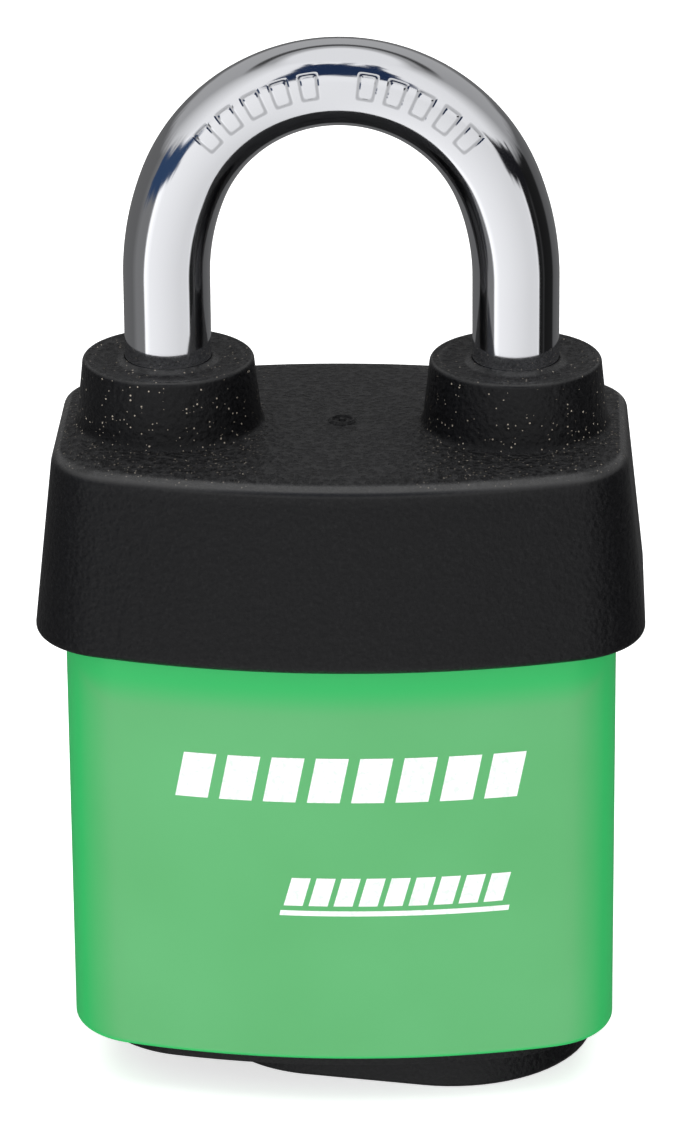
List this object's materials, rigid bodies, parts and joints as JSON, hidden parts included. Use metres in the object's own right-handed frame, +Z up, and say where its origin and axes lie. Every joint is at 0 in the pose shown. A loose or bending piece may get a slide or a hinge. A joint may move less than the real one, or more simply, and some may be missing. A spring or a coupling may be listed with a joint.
{
  "type": "laminated padlock",
  "caption": "Keyed padlock with a bowed moulded cover over a laminated body, a black top cap with shackle collars, a round chrome shackle and a swinging keyway cover.",
  "frame": {"origin": "middle of the outline, on the keyway cover's outer face, which is the lowest point", "axes": "+Z up along the shackle legs, X across the two legs, -Y is the front"},
  "size_m": [0.0564, 0.0406, 0.0986],
  "materials": {
    "cover_green": "satin moulded",
    "black_plastic": "fine grained",
    "seal_rubber": "matt",
    "plate_steel": "zinc plated",
    "lock_brass": "turned",
    "shackle_chrome": "polished"
  },
  "bodies": {
    "case": {"body_cover": "cover_green", "top_cap": "black_plastic", "shackle_seal_heel": "seal_rubber", "shackle_seal_toe": "seal_rubber", "base_plate": "black_plastic", "lamination_01": "plate_steel", "lamination_02": "plate_steel", "lamination_03": "plate_steel", "lamination_04": "plate_steel", "lamination_05": "plate_steel", "lamination_06": "plate_steel", "lamination_07": "plate_steel", "lamination_08": "plate_steel", "lamination_09": "plate_steel", "lamination_10": "plate_steel", "lamination_11": "plate_steel", "lamination_12": "plate_steel", "lamination_13": "plate_steel", "lamination_14": "plate_steel", "lamination_15": "plate_steel", "lamination_16": "plate_steel", "lamination_17": "plate_steel", "lamination_18": "plate_steel", "lamination_19": "plate_steel", "lamination_20": "plate_steel", "lamination_21": "plate_steel", "lamination_22": "plate_steel", "lamination_23": "plate_steel", "lamination_24": "plate_steel", "body_rivets": "plate_steel", "cylinder_housing": "lock_brass", "spring_strip": "lock_brass", "retaining_screw": "plate_steel", "cover_rivet": "plate_steel", "driver_spring_1": "plate_steel", "driver_spring_2": "plate_steel", "driver_spring_3": "plate_steel", "driver_spring_4": "plate_steel", "driver_spring_5": "plate_steel"},
    "shackle": {"shackle": "shackle_chrome"},
    "plug": {"plug": "lock_brass", "plug_clip": "plate_steel", "locking_cam": "plate_steel"},
    "ball_toe": {"ball_toe": "shackle_chrome"},
    "ball_heel": {"ball_heel": "shackle_chrome"},
    "keyway_cover": {"keyway_cover": "black_plastic"},
    "driver_pin_1": {"driver_pin_1": "lock_brass"},
    "driver_pin_2": {"driver_pin_2": "lock_brass"},
    "driver_pin_3": {"driver_pin_3": "lock_brass"},
    "driver_pin_4": {"driver_pin_4": "lock_brass"},
    "driver_pin_5": {"driver_pin_5": "lock_brass"},
    "key_pin_1": {"key_pin_1": "lock_brass"},
    "key_pin_2": {"key_pin_2": "lock_brass"},
    "key_pin_3": {"key_pin_3": "lock_brass"},
    "key_pin_4": {"key_pin_4": "lock_brass"},
    "key_pin_5": {"key_pin_5": "lock_brass"}
  },
  "joints": [
    {"name": "shackle_lift", "type": "slide", "parent": "case", "child": "shackle", "axis": [0, 0, 1], "range_m": [0, 0.0235]},
    {"name": "plug_turn", "type": "hinge", "parent": "case", "child": "plug", "pos_m": [0, 0, 0.0185], "axis": [0, 0, 1], "range_deg": [0, 90]},
    {"name": "ball_toe_slide", "type": "slide", "parent": "case", "child": "ball_toe", "axis": [1, 0, 0], "range_m": [0, 0.0022]},
    {"name": "ball_heel_slide", "type": "slide", "parent": "case", "child": "ball_heel", "axis": [-1, 0, 0], "range_m": [0, 0.0013]},
    {"name": "cover_swing", "type": "hinge", "parent": "case", "child": "keyway_cover", "pos_m": [0.0196, 0, 0.0016], "axis": [0, 0, 1], "range_deg": [0, 110]},
    {"name": "driver_slide_1", "type": "slide", "parent": "case", "child": "driver_pin_1", "axis": [1, 0, 0], "range_m": [0, 0.0022], "stiffness_N_per_m": 100, "springref_m": -0.002, "deforming": ["driver_spring_1"]},
    {"name": "driver_slide_2", "type": "slide", "parent": "case", "child": "driver_pin_2", "axis": [1, 0, 0], "range_m": [0, 0.0022], "stiffness_N_per_m": 100, "springref_m": -0.002, "deforming": ["driver_spring_2"]},
    {"name": "driver_slide_3", "type": "slide", "parent": "case", "child": "driver_pin_3", "axis": [1, 0, 0], "range_m": [0, 0.0022], "stiffness_N_per_m": 100, "springref_m": -0.002, "deforming": ["driver_spring_3"]},
    {"name": "driver_slide_4", "type": "slide", "parent": "case", "child": "driver_pin_4", "axis": [1, 0, 0], "range_m": [0, 0.0022], "stiffness_N_per_m": 100, "springref_m": -0.002, "deforming": ["driver_spring_4"]},
    {"name": "driver_slide_5", "type": "slide", "parent": "case", "child": "driver_pin_5", "axis": [1, 0, 0], "range_m": [0, 0.0022], "stiffness_N_per_m": 100, "springref_m": -0.002, "deforming": ["driver_spring_5"]},
    {"name": "key_pin_slide_1", "type": "slide", "parent": "plug", "child": "key_pin_1", "axis": [0, 1, 0], "range_m": [0, 0.0015]},
    {"name": "key_pin_slide_2", "type": "slide", "parent": "plug", "child": "key_pin_2", "axis": [0, 1, 0], "range_m": [0, 0.0015]},
    {"name": "key_pin_slide_3", "type": "slide", "parent": "plug", "child": "key_pin_3", "axis": [0, 1, 0], "range_m": [0, 0.0015]},
    {"name": "key_pin_slide_4", "type": "slide", "parent": "plug", "child": "key_pin_4", "axis": [0, 1, 0], "range_m": [0, 0.0015]},
    {"name": "key_pin_slide_5", "type": "slide", "parent": "plug", "child": "key_pin_5", "axis": [0, 1, 0], "range_m": [0, 0.0015]}
  ],
  "couplings": [
    {"joint": "ball_toe_slide", "follows": "plug_turn", "m_per_rad": 0.0013687},
    {"joint": "ball_heel_slide", "follows": "plug_turn", "m_per_rad": 0.00079577}
  ]
}
